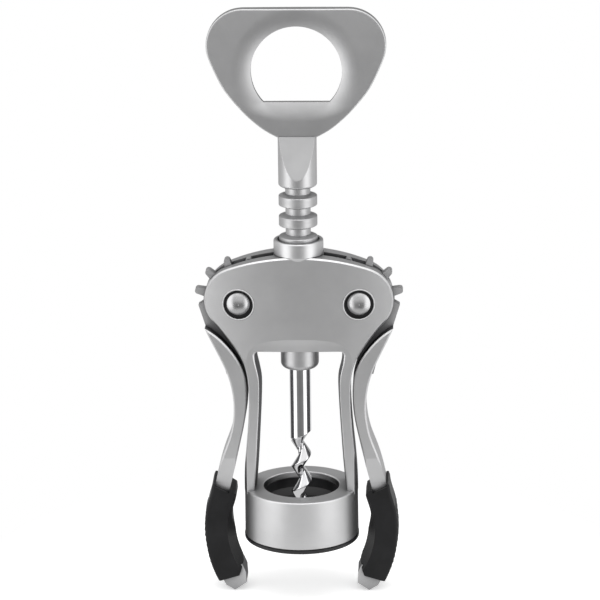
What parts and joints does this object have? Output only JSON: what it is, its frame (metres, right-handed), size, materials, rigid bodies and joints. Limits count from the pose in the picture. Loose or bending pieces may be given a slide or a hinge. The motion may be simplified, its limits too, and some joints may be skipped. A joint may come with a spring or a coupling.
{
  "type": "wing corkscrew",
  "caption": "Wing corkscrew with geared levers, a ringed rack, a right-handed worm, a bell that centres on the bottle and a crown-cap opener as handle.",
  "frame": {"origin": "centre of the bell's mouth, on the plane of the liner's foot ring", "axes": "+Z along the spindle towards the opener handle, +X to the right-hand lever, -Y the front with the rivet heads"},
  "size_m": [0.0682, 0.0382, 0.1971],
  "materials": {
    "satin_metal": "satin plated casting",
    "turned_metal": "turned and plated",
    "polished_metal": "polished",
    "black_plastic": "matte",
    "black_rubber": "fine matte"
  },
  "bodies": {
    "frame_body": {"frame": "satin_metal", "bell_liner": "black_plastic", "left_front_bush": "black_plastic", "left_rear_bush": "black_plastic", "right_front_bush": "black_plastic", "right_rear_bush": "black_plastic", "left_pivot_pin": "polished_metal", "left_pivot_cap": "polished_metal", "right_pivot_pin": "polished_metal", "right_pivot_cap": "polished_metal"},
    "left_wing": {"left_lever": "satin_metal", "left_grip": "black_rubber"},
    "right_wing": {"right_lever": "satin_metal", "right_grip": "black_rubber"},
    "guide": {"guide_cup": "turned_metal"},
    "spindle": {"opener_handle": "satin_metal", "rack_shaft": "turned_metal", "worm": "polished_metal", "worm_pin": "turned_metal", "upper_thrust_washer": "black_plastic", "lower_thrust_washer": "black_plastic"}
  },
  "joints": [
    {"name": "left_wing_swing", "type": "hinge", "parent": "frame_body", "child": "left_wing", "pos_m": [-0.0197, 0, 0.0821], "axis": [0, 1, 0], "range_deg": [0, 120]},
    {"name": "right_wing_swing", "type": "hinge", "parent": "frame_body", "child": "right_wing", "pos_m": [0.0197, 0, 0.0821], "axis": [0, -1, 0], "range_deg": [0, 120]},
    {"name": "spindle_slide", "type": "slide", "parent": "frame_body", "child": "guide", "axis": [0, 0, 1], "range_m": [-0.0273, 0]},
    {"name": "spindle_turn", "type": "hinge", "parent": "guide", "child": "spindle", "pos_m": [0, 0, 0.0656], "axis": [0, 0, 1], "continuous": true}
  ],
  "couplings": [
    {"joint": "right_wing_swing", "follows": "left_wing_swing", "ratio": 1},
    {"joint": "spindle_slide", "follows": "left_wing_swing", "m_per_rad": -0.012987}
  ]
}
